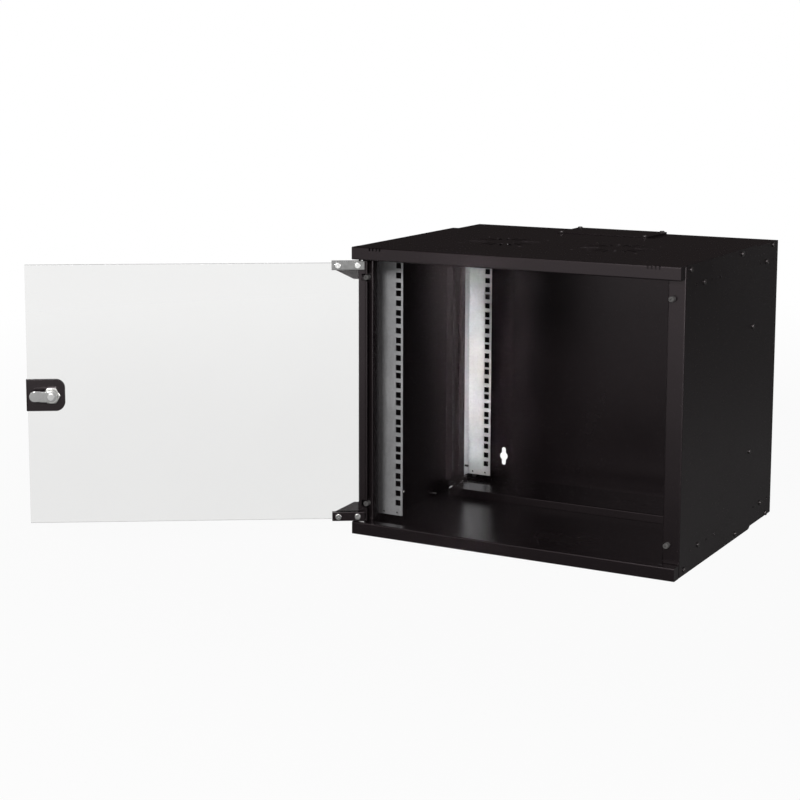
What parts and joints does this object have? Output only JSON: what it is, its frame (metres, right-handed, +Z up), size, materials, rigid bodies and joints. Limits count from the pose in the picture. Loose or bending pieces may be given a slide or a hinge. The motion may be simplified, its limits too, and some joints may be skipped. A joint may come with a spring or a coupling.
{
  "type": "wall mount network cabinet",
  "caption": "Shallow wall-mounted rack cabinet: folded black steel case, square-hole equipment rails, vented roof with fan places, and a frameless glass door hinged at one side with a cam lock.",
  "frame": {"origin": "middle of the rear panel's outer face, which lies on the wall", "axes": "+Y out of the back into the wall, so the front faces -Y; +Z up; +X to the right seen from the front"},
  "size_m": [0.9715, 0.7369, 0.463],
  "materials": {
    "black_paint": "satin",
    "clear_glass": "polished",
    "rail_zinc": "satin",
    "bright_zinc": "gloss",
    "nickel": "polished",
    "black_screw": "gloss",
    "black_rubber": "matte"
  },
  "bodies": {
    "case": {"top_panel": "black_paint", "bottom_panel": "black_paint", "side_panel_left": "black_paint", "side_panel_right": "black_paint", "rear_panel": "black_paint", "top_cable_cover": "black_paint", "bottom_cable_plate": "black_paint", "cross_channel_top": "black_paint", "cross_channel_bottom": "black_paint", "side_stiffener_left": "black_paint", "side_stiffener_right": "black_paint", "corner_bracket_top_left": "black_paint", "corner_bracket_top_right": "black_paint", "corner_bracket_bottom_left": "black_paint", "corner_bracket_bottom_right": "black_paint", "front_rail_left": "rail_zinc", "front_rail_right": "rail_zinc", "rear_rail_left": "rail_zinc", "rear_rail_right": "rail_zinc", "panel_screws_left": "black_screw", "panel_screws_right": "black_screw", "rail_screws_left": "black_screw", "rail_screws_right": "black_screw", "stiffener_screws_left": "black_screw", "stiffener_screws_right": "black_screw", "bracket_screws": "bright_zinc", "cover_screws": "black_screw", "door_bumpers": "black_rubber", "hinge_washer": "bright_zinc"},
    "door": {"door_glass": "clear_glass", "hinge_frame": "black_paint", "hinge_clamp_top": "bright_zinc", "hinge_clamp_bottom": "black_paint", "clamp_pad_top_inner": "black_rubber", "clamp_pad_top_outer": "black_rubber", "clamp_pad_bottom_inner": "black_rubber", "clamp_pad_bottom_outer": "black_rubber", "clamp_screws": "bright_zinc", "clamp_nuts": "bright_zinc", "hinge_pin_top": "bright_zinc", "hinge_pin_bottom": "bright_zinc", "lock_bracket": "black_paint", "lock_pad": "black_rubber", "lock_barrel": "nickel", "lock_nut": "nickel"},
    "lock": {"lock_plug": "nickel", "lock_cam": "bright_zinc", "cam_bolt": "bright_zinc"}
  },
  "joints": [
    {"name": "door_hinge", "type": "hinge", "parent": "case", "child": "door", "pos_m": [-0.257, -0.441, 0], "axis": [0, 0, -1], "range_deg": [-147, 33]},
    {"name": "lock_turn", "type": "hinge", "parent": "door", "child": "lock", "pos_m": [-0.66375, -0.70515, 0], "axis": [0.5446, -0.8387, 0], "range_deg": [0, 90]}
  ]
}
